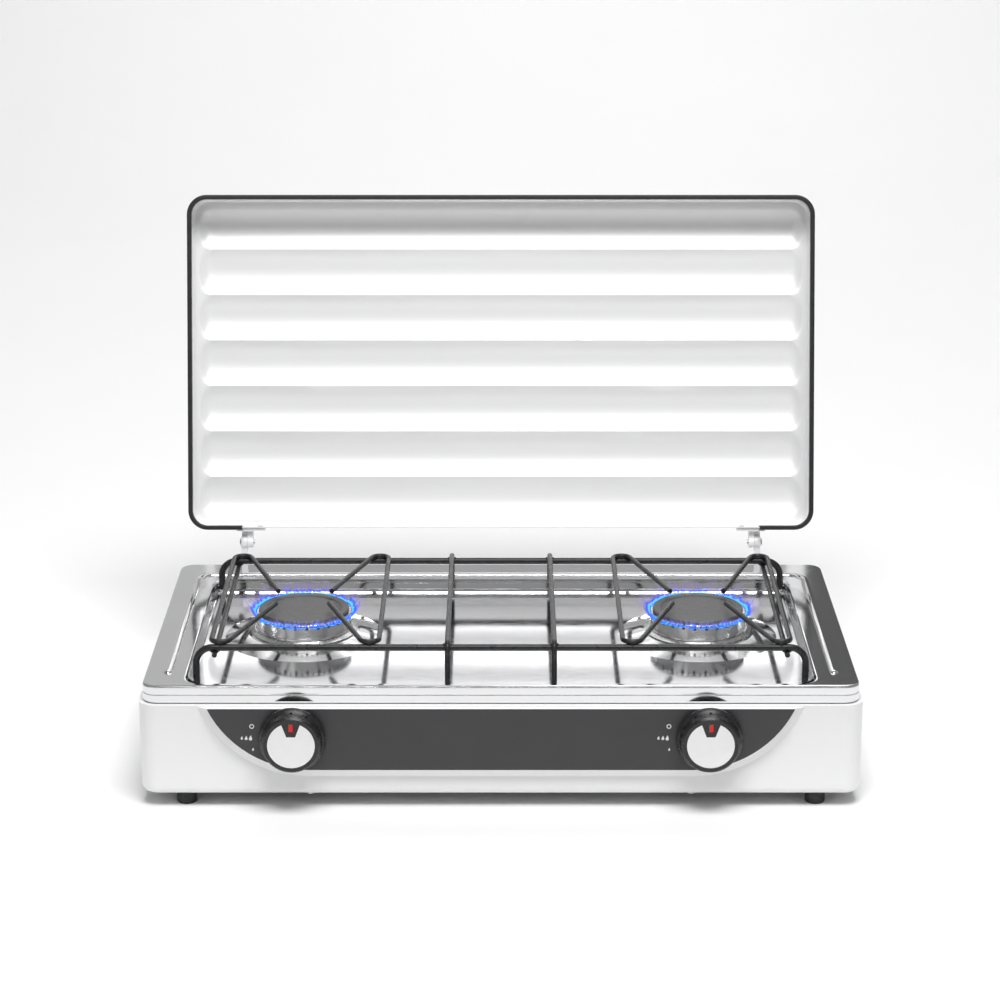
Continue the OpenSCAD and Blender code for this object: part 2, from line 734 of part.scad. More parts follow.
// Turns what is drawn closed to the open position that the stove is shown in.
module opened() {
  translate([0, hinge_y, hinge_z]) rotate([-lid_open, 0, 0]) translate([0, -hinge_y, -hinge_z]) children();
}

// Post on the rear wall, with an eye for the pin and a finger that stops the open lid.
module hinge_post(s) {
  color("white") difference() {
    translate([s * hinge_x - eye_w / 2, 0, 0]) rotate([90, 0, 90]) linear_extrude(eye_w) union() {
      translate([body_rear, 56]) square([3, hinge_z - 56]);
      translate([hinge_y, hinge_z]) circle(eye_r);
      translate([hinge_y + 3.5, hinge_z]) square([3.5, 7.6]);
      translate([hinge_y - 1, hinge_z - 9]) square([5, 6]);
      translate([hinge_y + 3, hinge_z - 9]) square([4, 10]);
    }
    translate([s * hinge_x - eye_w, hinge_y, hinge_z]) rotate([0, 90, 0])
      cylinder(h = 2 * eye_w, r = pin_r + fit);
    for (z = [64, 76])
      translate([s * hinge_x, body_rear - 1, z]) rotate([-90, 0, 0]) cylinder(h = 5, r = 1.6);
  }
}
module hinge_post_left() { hinge_post(-1); }
module hinge_post_right() { hinge_post(1); }

module hinge_screws() {
  color("silver") for (s = [-1, 1], z = [64, 76]) translate([s * hinge_x, body_rear, z]) rotate([-90, 0, 0]) {
    translate([0, 0, -5]) cylinder(h = 8.2, r = 1.5);
    translate([0, 0, 3]) cylinder(h = 1.6, r = 2.4);
  }
}

// Pin through the post's eye and the leaf's eye, with a head at its outer end.
module hinge_pin(s) {
  color("silver") translate([s * (hinge_x + eye_w / 2 + 1.4), hinge_y, hinge_z]) rotate([0, -s * 90, 0]) {
    cylinder(h = 1.3, r = 3.2);
    cylinder(h = 2 * eye_w + 3, r = pin_r);
  }
}
module hinge_pin_left() { hinge_pin(-1); }
module hinge_pin_right() { hinge_pin(1); }

// Section of the lid's wall, from the rim to the flat round the ribs.
module lid_wall_profile() {
  r = lid_round;
  t = lid_t;
  z0 = lid_rim + 1;
  z1 = lid_rim + lid_deck;
  polygon(concat([[-1.4, z0]], arc([-1.4 - r, z1 - r], r, 0, 90, 8),
    [[-rib_margin - 4, z1], [-rib_margin - 4, z1 - t]],
    arc([-1.4 - r, z1 - r], r - t, 90, 0, 8), [[-1.4 - t, z0]]));
}

rib_deep = lid_h - lid_deck;
rib_half = rib_pitch / 2;
rib_r = (pow(rib_half, 2) + pow(rib_deep, 2)) / (2 * rib_deep);
rib_field = lid_d - 2 * rib_margin;

// The ribbed field as a solid, sunk by the given thickness.
module rib_field_solid(t) {
  half = lid_w / 2 - rib_margin - t;
  intersection() {
    union() for (i = [0:ribs - 1])
      translate([-half, (i - (ribs - 1) / 2) * rib_pitch, lid_rim + lid_h - rib_r])
        rotate([0, 90, 0]) cylinder(h = 2 * half, r = rib_r - t);
    translate([0, 0, lid_rim + lid_deck - (t > 0 ? 6 : lid_t)]) linear_extrude(20)
      true_rounded(2 * half, rib_field - 2 * t, 8);
  }
}

module lid_shell() {
  color("white") opened() difference() {
    union() {
      carry_round(lid_w, lid_d, lid_r) lid_wall_profile();
      difference() {
        rib_field_solid(0);
        rib_field_solid(lid_t);
      }
    }
    // clearance between the hinges
    translate([-hinge_x, lid_d / 2 - 6, lid_rim]) cube([2 * hinge_x, 12, trim_h - 0.5]);
  }
}

// Channel-shaped trim on the lid's rim, left off between the hinges.
module lid_edge_trim() {
  t = lid_t;
  color([0.12, 0.12, 0.12]) opened() difference() {
    carry_round(lid_w, lid_d, lid_r) difference() {
      polygon(concat(
        arc([-1.4, lid_rim + 1.4], 1.4, -90, 0, 4), [[0, lid_rim + trim_h - 0.8], [-0.8, lid_rim + trim_h]],
        [[-1.4, lid_rim + trim_h], [-trim_w, lid_rim + trim_h - 3], [-trim_w, lid_rim + 1]],
        arc([-trim_w + 1, lid_rim + 1], 1, 180, 270, 4)
      ));
      translate([-1.4 - t, lid_rim + 1]) square([t, trim_h]);
    }
    translate([-hinge_x - 0.7, lid_d / 2 - 8, lid_rim - 1]) cube([2 * hinge_x + 1.4, 12, trim_h + 2]);
  }
}

leaf_in = lid_d / 2 - 1.4;            // outer face of the lid's rear wall
leaf_low = lid_rim + trim_h + 0.6;
leaf_high = hinge_z + 7.5;

// Leaf riveted to the lid's rear wall, with an arm and an eye beside the post.
module hinge_leaf(s) {
  t = hinge_y - 10 - leaf_in;
  in_x = s > 0 ? hinge_x - 18 : -hinge_x - 6;
  arm_x = s > 0 ? hinge_x - eye_w * 1.5 - gap : -hinge_x + eye_w / 2 + gap;
  color("white") opened() difference() {
    union() {
      translate([in_x, leaf_in, leaf_low]) cube([24, t, leaf_high - leaf_low]);
      translate([arm_x, 0, 0]) rotate([90, 0, 90]) linear_extrude(eye_w) union() {
        translate([leaf_in, hinge_z - 4]) square([hinge_y - leaf_in, 8]);
        translate([hinge_y, hinge_z]) circle(eye_r);
      }
    }
    translate([arm_x - 1, hinge_y, hinge_z]) rotate([0, 90, 0]) cylinder(h = eye_w + 2, r = pin_r + fit);
  }
}
module hinge_leaf_left() { hinge_leaf(-1); }
module hinge_leaf_right() { hinge_leaf(1); }

module leaf_rivets() {
  color("silver") opened() for (s = [-1, 1], x = [-14, 3])
    translate([s * (hinge_x + x), leaf_in - lid_t, (leaf_low + leaf_high) / 2]) rotate([-90, 0, 0]) {
      translate([0, 0, -0.8]) cylinder(h = 0.8, r = 2.6);
    }
}

housing();
control_panel();
dial_marks_left();
dial_marks_right();
base_plate();
base_screws();
foot_front_left();
foot_front_right();
foot_rear_left();
foot_rear_right();
hob_plate();
burner_cup_left();
burner_cup_right();
mixer_tube_left();
mixer_tube_right();
flame_ring_left();
flame_ring_right();
burner_cap_left();
burner_cap_right();
valve_body_left();
valve_body_right();
gas_jet_left();
gas_jet_right();
manifold_pipe();
inlet_pipe();
inlet_nut();
hose_nozzle();
gas_plug_left();
gas_plug_right();
return_spring_left();
return_spring_right();
spindle_left();
spindle_right();
knob_left();
knob_right();
knob_face_left();
knob_face_right();
knob_pointer_left();
knob_pointer_right();
grate_front_rail();
grate_rear_rail();
grate_side_rods();
grate_cross_wires();
pan_support_outer_left();
pan_support_inner_left();
pan_support_inner_right();
pan_support_outer_right();
hinge_post_left();
hinge_post_right();
hinge_screws();
hinge_pin_left();
hinge_pin_right();
lid_shell();
lid_edge_trim();
hinge_leaf_left();
hinge_leaf_right();
leaf_rivets();
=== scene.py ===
"""Materials, weld beads, studio and camera for a two-burner camping stove with a ribbed lid."""

import json
import math
import random

import bmesh
import bpy
from mathutils import Matrix, Vector


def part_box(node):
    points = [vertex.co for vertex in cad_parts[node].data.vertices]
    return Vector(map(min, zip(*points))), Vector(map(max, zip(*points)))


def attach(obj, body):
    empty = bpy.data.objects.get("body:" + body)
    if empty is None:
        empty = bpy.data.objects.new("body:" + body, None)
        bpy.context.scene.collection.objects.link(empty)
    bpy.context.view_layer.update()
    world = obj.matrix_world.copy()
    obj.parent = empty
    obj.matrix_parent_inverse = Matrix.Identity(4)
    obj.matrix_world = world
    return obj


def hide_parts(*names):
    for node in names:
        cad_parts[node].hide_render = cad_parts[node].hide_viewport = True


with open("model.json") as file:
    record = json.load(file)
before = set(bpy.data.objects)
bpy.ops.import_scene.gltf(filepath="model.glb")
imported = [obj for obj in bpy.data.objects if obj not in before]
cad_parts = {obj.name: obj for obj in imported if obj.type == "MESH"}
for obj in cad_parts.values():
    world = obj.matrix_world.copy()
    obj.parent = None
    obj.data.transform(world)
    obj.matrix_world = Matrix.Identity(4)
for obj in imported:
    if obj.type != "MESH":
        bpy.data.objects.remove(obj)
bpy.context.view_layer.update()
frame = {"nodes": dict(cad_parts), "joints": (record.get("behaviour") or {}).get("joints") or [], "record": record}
NODES = frame["nodes"]

bl_info = {
    "name": "Camping stove",
    "version": (1, 0, 0),
    "blender": (4, 5, 0),
    "location": "View3D > Sidebar > Camping stove",
    "description": "Builds the finishes, weld beads, flames and studio of a camping stove",
    "category": "Object",
}

SIDES = ("left", "right")


# ------------------------------------------------------------------ helpers


def mesh_piece(name, bm, material, smooth=True):
    """Turns a bmesh into a scene object with one material."""
    mesh = bpy.data.meshes.new(name)
    bm.normal_update()
    bm.to_mesh(mesh)
    bm.free()
    for face in mesh.polygons:
        face.use_smooth = smooth
    obj = bpy.data.objects.new(name, mesh)
    bpy.context.scene.collection.objects.link(obj)
    mesh.materials.append(material)
    return obj


def wear(nodes, material):
    """Gives CAD nodes their material."""
    for name in nodes:
        data = NODES[name].data
        data.materials.clear()
        data.materials.append(material)


def finish_material(name, colour, **inputs):
    """A principled material with a base colour and plain socket values."""
    mat = bpy.data.materials.new(name)
    mat.use_nodes = True
    shader = mat.node_tree.nodes["Principled BSDF"]
    shader.inputs["Base Color"].default_value = (*colour, 1)
    for key, value in inputs.items():
        shader.inputs[key.replace("_", " ")].default_value = value
    mat.diffuse_color = (*colour, 1)
    return mat


def noise(mat, scale, detail=2.0, stretch=(1, 1, 1)):
    """Object-space noise, in metres, stretched along the axes."""
    tree = mat.node_tree
    where = tree.nodes.new("ShaderNodeTexCoord")
    mapping = tree.nodes.new("ShaderNodeMapping")
    mapping.inputs["Scale"].default_value = stretch
    tex = tree.nodes.new("ShaderNodeTexNoise")
    tex.inputs["Scale"].default_value = scale
    tex.inputs["Detail"].default_value = detail
    tree.links.new(where.outputs["Object"], mapping.inputs["Vector"])
    tree.links.new(mapping.outputs["Vector"], tex.inputs["Vector"])
    return tex.outputs["Fac"]


def spread(mat, source, low, high):
    """Maps a 0 to 1 texture to a range of values."""
    node = mat.node_tree.nodes.new("ShaderNodeMapRange")
    node.inputs["From Min"].default_value = 0.3
    node.inputs["From Max"].default_value = 0.7
    node.inputs["To Min"].default_value = low
    node.inputs["To Max"].default_value = high
    mat.node_tree.links.new(source, node.inputs["Value"])
    return node.outputs["Result"]


def vary_colour(mat, source, dark, light):
    """Drives the base colour between two tones."""
    ramp = mat.node_tree.nodes.new("ShaderNodeValToRGB")
    ramp.color_ramp.elements[0].position = 0.35
    ramp.color_ramp.elements[1].position = 0.65
    ramp.color_ramp.elements[0].color = (*dark, 1)
    ramp.color_ramp.elements[1].color = (*light, 1)
    mat.node_tree.links.new(source, ramp.inputs["Fac"])
    shader = mat.node_tree.nodes["Principled BSDF"]
    mat.node_tree.links.new(ramp.outputs["Color"], shader.inputs["Base Color"])


def vary_roughness(mat, source, low, high):
    """Drives the roughness between two values."""
    shader = mat.node_tree.nodes["Principled BSDF"]
    mat.node_tree.links.new(spread(mat, source, low, high), shader.inputs["Roughness"])


def bumps(mat, source, strength, distance):
    """Adds a fine relief."""
    bump = mat.node_tree.nodes.new("ShaderNodeBump")
    bump.inputs["Strength"].default_value = strength
    bump.inputs["Distance"].default_value = distance
    shader = mat.node_tree.nodes["Principled BSDF"]
    mat.node_tree.links.new(source, bump.inputs["Height"])
    mat.node_tree.links.new(bump.outputs["Normal"], shader.inputs["Normal"])


def grey(value):
    """A neutral colour."""
    return (value, value, value)


# ------------------------------------------------------------------ settings


class StoveFinishes(bpy.types.PropertyGroup):
    """Colours of the stove."""

    enamel: bpy.props.FloatVectorProperty(
        name="Enamel", description="Colour of the housing and the lid", subtype="COLOR",
        default=(0.87, 0.87, 0.875),
    )
    steel: bpy.props.FloatVectorProperty(
        name="Hob steel", description="Colour of the polished hob plate", subtype="COLOR",
        default=(0.79, 0.79, 0.8),
    )
    panel: bpy.props.FloatVectorProperty(
        name="Panel", description="Colour of the control panel", subtype="COLOR",
        default=(0.038, 0.038, 0.04),
    )
    wires: bpy.props.FloatVectorProperty(
        name="Wires", description="Colour of the pan supports", subtype="COLOR",
        default=(0.014, 0.014, 0.015),
    )


class StoveSizes(bpy.types.PropertyGroup):
    """Sizes of the added pieces."""

    weld: bpy.props.FloatProperty(
        name="Weld bead", description="Length of a weld bead between two wires", default=0.0038,
        min=0.003, max=0.008, unit="LENGTH",
    )
    flame: bpy.props.FloatProperty(
        name="Flame", description="Length of one flame", default=0.013, min=0.004, max=0.02,
        unit="LENGTH",
    )


class StoveStudio(bpy.types.PropertyGroup):
    """Light and camera."""

    key: bpy.props.FloatProperty(
        name="Key light", description="Power of the large light above the front", default=62.0,
        min=0.0, unit="POWER",
    )
    fill: bpy.props.FloatProperty(
        name="Fill light", description="Power of the light from the front left", default=2.0,
        min=0.0, unit="POWER",
    )
    back: bpy.props.FloatProperty(
        name="Floor light", description="Power of the light over the floor behind", default=60.0,
        min=0.0, unit="POWER",
    )
    sky: bpy.props.FloatProperty(
        name="Room", description="Brightness of the room", default=0.3, min=0.0
    )
    lens: bpy.props.FloatProperty(
        name="Lens", description="Focal length on a 36 mm sensor", default=102.6, min=20.0,
        unit="CAMERA",
    )


# ------------------------------------------------------------------ finishes


class STOVE_OT_white_enamel(bpy.types.Operator):
    """Sprays the housing, the lid and its hinges in white enamel"""

    bl_idname = "stove.white_enamel"
    bl_label = "White enamel"

    def execute(self, context):
        colour = context.scene.stove_finishes.enamel
        mat = finish_material(
            "white_enamel", colour, Roughness=0.3, Coat_Weight=0.25, Coat_Roughness=0.12
        )
        vary_colour(mat, noise(mat, 7, 3), [c * 0.994 for c in colour], colour)
        vary_roughness(mat, noise(mat, 60, 4), 0.3, 0.33)
        bumps(mat, noise(mat, 1400, 2), 0.03, 0.0001)
        hinges = [f"{n}_{s}" for n in ("hinge_post", "hinge_leaf") for s in SIDES]
        wear(["housing", "lid_shell"] + hinges, mat)
        return {"FINISHED"}


class STOVE_OT_hob_steel(bpy.types.Operator):
    """Polishes the hob plate almost to a mirror"""

    bl_idname = "stove.hob_steel"
    bl_label = "Hob steel"

    def execute(self, context):
        colour = context.scene.stove_finishes.steel
        mat = finish_material("polished_steel", colour, Metallic=1.0)
        vary_colour(mat, noise(mat, 12, 3), [c * 0.97 for c in colour], colour)
        vary_roughness(mat, noise(mat, 90, 5, (1, 6, 6)), 0.07, 0.13)
        bumps(mat, noise(mat, 14, 2), 0.05, 0.002)
        wear(["hob_plate"], mat)
        return {"FINISHED"}


class STOVE_OT_burner_metal(bpy.types.Operator):
    """Turns the flame rings and casts the cups and mixing tubes"""

    bl_idname = "stove.burner_metal"
    bl_label = "Burner metal"

    def execute(self, context):
        ring = finish_material("turned_aluminium", grey(0.8), Metallic=1.0)
        vary_colour(ring, noise(ring, 40, 4, (1, 1, 8)), grey(0.78), grey(0.82))
        vary_roughness(ring, noise(ring, 500, 3, (0.2, 0.2, 3)), 0.16, 0.22)
        bumps(ring, noise(ring, 400, 2, (0.02, 0.02, 4)), 0.03, 0.0001)
        wear([f"flame_ring_{s}" for s in SIDES], ring)
        cast = finish_material("cast_aluminium", grey(0.7), Metallic=1.0)
        vary_colour(cast, noise(cast, 120, 4), grey(0.62), grey(0.74))
        vary_roughness(cast, noise(cast, 300, 3), 0.24, 0.32)
        bumps(cast, noise(cast, 1100, 3), 0.06, 0.0002)
        wear([f"{n}_{s}" for n in ("burner_cup", "mixer_tube") for s in SIDES], cast)
        return {"FINISHED"}


class STOVE_OT_burner_caps(bpy.types.Operator):
    """Coats the burner caps in matt dark enamel"""

    bl_idname = "stove.burner_caps"
    bl_label = "Burner caps"

    def execute(self, context):
        mat = finish_material("cap_enamel", grey(0.075), Roughness=0.5)
        vary_colour(mat, noise(mat, 300, 2), grey(0.07), grey(0.08))
        vary_roughness(mat, noise(mat, 200, 3), 0.48, 0.54)
        bumps(mat, noise(mat, 1500, 3), 0.03, 0.0001)
        wear([f"burner_cap_{s}" for s in SIDES], mat)
        return {"FINISHED"}


class STOVE_OT_wires(bpy.types.Operator):
    """Coats the pan supports in black enamel"""

    bl_idname = "stove.wires"
    bl_label = "Wires"

    def execute(self, context):
        colour = context.scene.stove_finishes.wires
        mat = finish_material("black_enamel", colour, Roughness=0.32, Specular_IOR_Level=0.4)
        vary_colour(mat, noise(mat, 90, 3), [c * 0.8 for c in colour], [c * 1.3 for c in colour])
        vary_roughness(mat, noise(mat, 150, 3), 0.24, 0.38)
        bumps(mat, noise(mat, 700, 2), 0.12, 0.0003)
        grate = frame["record"]["behaviour"]["bodies"]["grate"]
        wear(grate, mat)
        return {"FINISHED"}


class STOVE_OT_controls(bpy.types.Operator):
    """Finishes the control panel, its printed marks and the knobs"""

    bl_idname = "stove.controls"
    bl_label = "Controls"

    def execute(self, context):
        colour = context.scene.stove_finishes.panel
        panel = finish_material("dark_panel", colour, Roughness=0.45)
        tones = [c * 0.94 for c in colour], [c * 1.04 for c in colour]
        vary_colour(panel, noise(panel, 25, 2), *tones)
        vary_roughness(panel, noise(panel, 300, 3), 0.4, 0.5)
        bumps(panel, noise(panel, 1800, 2), 0.08, 0.0001)
        wear(["control_panel"], panel)
        ink = finish_material("white_ink", grey(0.8), Roughness=0.6)
        vary_colour(ink, noise(ink, 1500, 3), grey(0.74), grey(0.84))
        wear([f"dial_marks_{s}" for s in SIDES], ink)
        black = finish_material("knob_black", grey(0.01), Roughness=0.3)
        vary_colour(black, noise(black, 200, 3), grey(0.009), grey(0.013))
        vary_roughness(black, noise(black, 400, 3), 0.24, 0.34)
        bumps(black, noise(black, 2200, 2), 0.03, 0.0001)
        wear([f"knob_{s}" for s in SIDES], black)
        white = finish_material("knob_white", grey(0.86), Roughness=0.32)
        vary_colour(white, noise(white, 80, 2), grey(0.84), grey(0.87))
        vary_roughness(white, noise(white, 300, 3), 0.28, 0.38)
        wear([f"knob_face_{s}" for s in SIDES], white)
        red = finish_material("knob_red", (0.62, 0.012, 0.012), Roughness=0.35)
        vary_colour(red, noise(red, 400, 2), (0.58, 0.01, 0.01), (0.66, 0.014, 0.014))
        wear([f"knob_pointer_{s}" for s in SIDES], red)
        return {"FINISHED"}


class STOVE_OT_rubber(bpy.types.Operator):
    """Gives the feet rubber and the lid's edge its black trim"""

    bl_idname = "stove.rubber"
    bl_label = "Feet and trim"

    def execute(self, context):
        rubber = finish_material("black_rubber", grey(0.016), Roughness=0.65)
        vary_colour(rubber, noise(rubber, 300, 4), grey(0.012), grey(0.024))
        vary_roughness(rubber, noise(rubber, 200, 3), 0.55, 0.75)
        bumps(rubber, noise(rubber, 1400, 4), 0.3, 0.0002)
        wear([f"foot_{end}_{s}" for end in ("front", "rear") for s in SIDES], rubber)
        trim = finish_material("black_trim", grey(0.012), Roughness=0.45)
        vary_colour(trim, noise(trim, 120, 3), grey(0.01), grey(0.015))
        vary_roughness(trim, noise(trim, 250, 3), 0.38, 0.52)
        bumps(trim, noise(trim, 1200, 2), 0.12, 0.0002)
        wear(["lid_edge_trim"], trim)
        return {"FINISHED"}


class STOVE_OT_gas_parts(bpy.types.Operator):
    """Finishes the taps, pipes, base, screws, pins and springs"""

    bl_idname = "stove.gas_parts"
    bl_label = "Gas parts and fixings"

    def execute(self, context):
        brass = finish_material("brass", (0.76, 0.58, 0.27), Metallic=1.0)
        vary_colour(brass, noise(brass, 90, 4), (0.66, 0.48, 0.2), (0.8, 0.62, 0.3))
        vary_roughness(brass, noise(brass, 250, 3), 0.22, 0.38)
        names = ["inlet_nut", "hose_nozzle"]
        wear(names + [f"{n}_{s}" for n in ("valve_body", "gas_jet", "gas_plug") for s in SIDES], brass)
        zinc = finish_material("zinc_steel", grey(0.66), Metallic=1.0)
        vary_colour(zinc, noise(zinc, 200, 3), grey(0.58), grey(0.7))
        vary_roughness(zinc, noise(zinc, 300, 3), 0.22, 0.36)
        names = ["base_screws", "hinge_screws", "leaf_rivets"]
        wear(names + [f"{n}_{s}" for n in ("return_spring", "spindle", "hinge_pin") for s in SIDES], zinc)
        sheet = finish_material("galvanised_steel", grey(0.58), Metallic=1.0)
        spangle = sheet.node_tree.nodes.new("ShaderNodeTexVoronoi")
        spangle.inputs["Scale"].default_value = 110
        where = sheet.node_tree.nodes.new("ShaderNodeTexCoord")
        sheet.node_tree.links.new(where.outputs["Object"], spangle.inputs["Vector"])
        vary_colour(sheet, spangle.outputs["Color"], grey(0.48), grey(0.62))
        vary_roughness(sheet, noise(sheet, 120, 3), 0.35, 0.5)
        wear(["base_plate", "manifold_pipe", "inlet_pipe"], sheet)
        return {"FINISHED"}


# ------------------------------------------------------------------ added pieces


def framed(point, half_x, half_y, radius):
    """Moves a point of a rectangle's edge on to the same rectangle with round corners."""
    x, y = point
    cx, cy = half_x - radius, half_y - radius
    dx, dy = abs(x) - cx, abs(y) - cy
    if dx > 0 and dy > 0:
        push = max(dx, dy) / math.hypot(dx, dy)
        dx, dy = dx * push, dy * push
        return math.copysign(cx + dx, x), math.copysign(cy + dy, y)
    return x, y


def rib_height(x, y, edges, half_x, depth, radius, end):
    """Height of the ribbed field: round-ended pillows with sharp creases between them."""
    for low, high in zip(edges, edges[1:]):
        if low <= y <= high:
            half = (high - low) / 2
            across = abs(y - (low + high) / 2) / half
            along = max(0.0, 1 - (half_x - abs(x)) / end)
            way = min(1.0, (across**2.3 + along**2.3) ** (1 / 2.3))
            crest = min(depth, radius - math.sqrt(radius**2 - half**2))
            full = radius - math.sqrt(max(0.0, radius**2 - half**2))
            rise = math.sqrt(max(0.0, radius**2 - (way * half) ** 2)) - math.sqrt(radius**2 - half**2)
            return crest * rise / full
    return 0.0


class STOVE_OT_lid(bpy.types.Operator):
    """Presses the lid's sheet, with seven round-ended ribs and a drawn edge"""

    bl_idname = "stove.lid"
    bl_label = "Lid"

    def execute(self, context):
        mm = 0.001
        sheet, deck, wall_in, bend, lip = 0.8 * mm, 32 * mm, 1.4 * mm, 3.8 * mm, 1 * mm
        rim = 101.4 * mm
        half_x, half_y, corner = 272.5 * mm, 145.5 * mm, 17 * mm
        rib_deep, rib_radius, rib_end = 6 * mm, 36.3 * mm, 12 * mm
        hinge_gap = 227.5 * mm
        inset = wall_in + bend
        field_x, field_y = half_x - inset, half_y - inset
        rib_edges = [v * mm for v in (-135.6, -99.9, -59.9, -20, 20, 59.9, 99.9, 135.6)]
        end_x = field_x - 2.4 * mm
        ys = [-field_y]
        for low, high in zip(rib_edges, rib_edges[1:]):
            ys += [low + (high - low) * k / 16 for k in range(16)]
        ys += [rib_edges[-1], field_y]
        ys = sorted(set(round(y, 7) for y in ys))
        steps = [0, 0.0006, 0.0014, 0.0026, 0.004, 0.0056, 0.0074, 0.0094, 0.0118, 0.0146, 0.018]
        right = [end_x - v for v in steps]
        right += [right[-1] * (1 - k / 40) for k in range(1, 40)]
        right.append(field_x)
        xs = sorted(set([round(v, 7) for v in right] + [round(-v, 7) for v in right] + [0.0]))
        bm = bmesh.new()
        grid = []
        for iy, y in enumerate(ys):
            row = []
            for ix, x in enumerate(xs):
                px, py = x, y
                if ix in (0, len(xs) - 1) or iy in (0, len(ys) - 1):
                    px, py = framed((x, y), field_x, field_y, corner - inset)
                z = rim + deck + rib_height(x, y, rib_edges, end_x, rib_deep, rib_radius, rib_end)
                row.append(bm.verts.new((px, py, z)))
            grid.append(row)
        for a, b in zip(grid, grid[1:]):
            for k in range(len(xs) - 1):
                bm.faces.new((a[k], a[k + 1], b[k + 1], b[k]))
        loop = grid[0][:] + [r[-1] for r in grid[1:]] + grid[-1][-2::-1] + [r[0] for r in grid[-2:0:-1]]
        flat = [(x, ys[0]) for x in xs] + [(xs[-1], y) for y in ys[1:]]
        flat += [(x, ys[-1]) for x in xs[-2::-1]] + [(xs[0], y) for y in ys[-2:0:-1]]
        turns = [math.pi / 2 * k / 8 for k in range(1, 9)]
        profile = [(bend * math.sin(a), bend - bend * math.cos(a)) for a in turns]
        profile += [(bend, bend + (deck - bend - lip) * k / 4) for k in range(1, 5)]
        last = loop
        for out, down in profile:
            now = []
            hx, hy = field_x + out, field_y + out
            for x, y in flat:
                px, py = framed((x * hx / field_x, y * hy / field_y), hx, hy, corner - inset + out)
                now.append(bm.verts.new((px, py, rim + deck - down)))
            cut = down > deck - bend - lip
            count = len(loop)
            for k in range(count):
                n = (k + 1) % count
                behind = flat[k][1] == ys[-1] and flat[n][1] == ys[-1]
                if cut and behind and max(abs(flat[k][0]), abs(flat[n][0])) < hinge_gap:
                    continue
                bm.faces.new((last[k], last[n], now[n], now[k]))
            last = now
        loose = [v for v in bm.verts if not v.link_faces]
        bmesh.ops.delete(bm, geom=loose, context="VERTS")
        bmesh.ops.recalc_face_normals(bm, faces=bm.faces)
        top = max(bm.faces, key=lambda f: f.calc_center_median().z)
        if top.normal.z < 0:
            bmesh.ops.reverse_faces(bm, faces=bm.faces)
        obj = mesh_piece("lid_pressing", bm, bpy.data.materials["white_enamel"])
        solid = obj.modifiers.new("sheet", "SOLIDIFY")
        solid.thickness = sheet
        solid.offset = -1
        hinge = next(j for j in frame["joints"] if j["name"] == "lid_hinge")
        pivot = Vector(hinge["pos_m"])
        turn = Matrix.Rotation(-math.radians(hinge["range_deg"][1]), 4, "X")
        bpy.context.view_layer.update()
        made = bpy.data.meshes.new_from_object(obj.evaluated_get(bpy.context.evaluated_depsgraph_get()))
        obj.modifiers.clear()
        obj.data = made
        made.transform(Matrix.Translation(pivot) @ turn @ Matrix.Translation(-pivot))
        made.set_sharp_from_angle(angle=math.radians(28))
        fewest_faces = 5000
        if len(made.polygons) < fewest_faces:
            raise RuntimeError("the lid's sheet is incomplete")
        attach(obj, "lid")
        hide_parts("lid_shell")
        return {"FINISHED"}


def bead(bm, centre, along, size):
    """A weld bead: a lens-shaped blob drawn out along the wire, with a rippled skin."""
    along = Vector(along).normalized()
    turn = Vector((1, 0, 0)).rotation_difference(along).to_matrix().to_4x4()
    scale = Matrix.Diagonal((size * 0.62, size * 0.5, size * 0.34, 1))
    place = Matrix.Translation(centre) @ turn @ scale
    made = bmesh.ops.create_icosphere(bm, subdivisions=3, radius=1.0, matrix=place)
    for v in made["verts"]:
        along_way = (v.co - centre).dot(along)
        v.co += (v.co - centre) * 0.05 * math.sin(along_way * 5200)


class STOVE_OT_weld_beads(bpy.types.Operator):
    """Adds the enamelled weld beads where the wires cross the rails"""

    bl_idname = "stove.weld_beads"
    bl_label = "Weld beads"

    def execute(self, context):
        size = context.scene.stove_sizes.weld
        wire_r, to_arm, aside = 0.0021, 0.0075, 0.0019
        bm = bmesh.new()
        cross_low, cross_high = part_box("grate_cross_wires")
        rod_low, rod_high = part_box("grate_side_rods")
        for rail in ("grate_front_rail", "grate_rear_rail"):
            low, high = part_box(rail)
            y = (low.y + high.y) / 2
            above = high.z - 0.0004
            below = high.z - 0.0055
            spots = []
            for x in (cross_low.x + wire_r, cross_high.x - wire_r):
                spots += [(x - aside, above), (x + aside, above)]
            for x in (rod_low.x + wire_r, rod_high.x - wire_r):
                spots += [(x - aside, below), (x + aside, below)]
            for side, outward in zip(SIDES, (-1, 1)):
                for place, away in (("outer", outward), ("inner", -outward)):
                    lo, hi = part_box(f"pan_support_{place}_{side}")
                    x = hi.x - wire_r - to_arm if away > 0 else lo.x + wire_r + to_arm
                    spots.append((x, above))
            for x, z in spots:
                bead(bm, Vector((x, y, z)), (0, 1, 0), size)
        if not bm.verts:
            raise RuntimeError("no weld beads were made")
        obj = mesh_piece("grate_weld_beads", bm, bpy.data.materials["black_enamel"])
        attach(obj, "grate")
        return {"FINISHED"}


def flame_material(name, colour, strength, body):
    """A glowing gas colour, let through by the given amount of body."""
    mat = bpy.data.materials.new(name)
    mat.use_nodes = True
    tree = mat.node_tree
    tree.nodes.clear()
    out = tree.nodes.new("ShaderNodeOutputMaterial")
    mix = tree.nodes.new("ShaderNodeMixShader")
    clear = tree.nodes.new("ShaderNodeBsdfTransparent")
    glow = tree.nodes.new("ShaderNodeEmission")
    glow.inputs["Color"].default_value = (*colour, 1)
    glow.inputs["Strength"].default_value = strength
    mix.inputs["Fac"].default_value = body
    tree.links.new(clear.outputs[0], mix.inputs[1])
    tree.links.new(glow.outputs[0], mix.inputs[2])
    tree.links.new(mix.outputs[0], out.inputs["Surface"])
    return mat


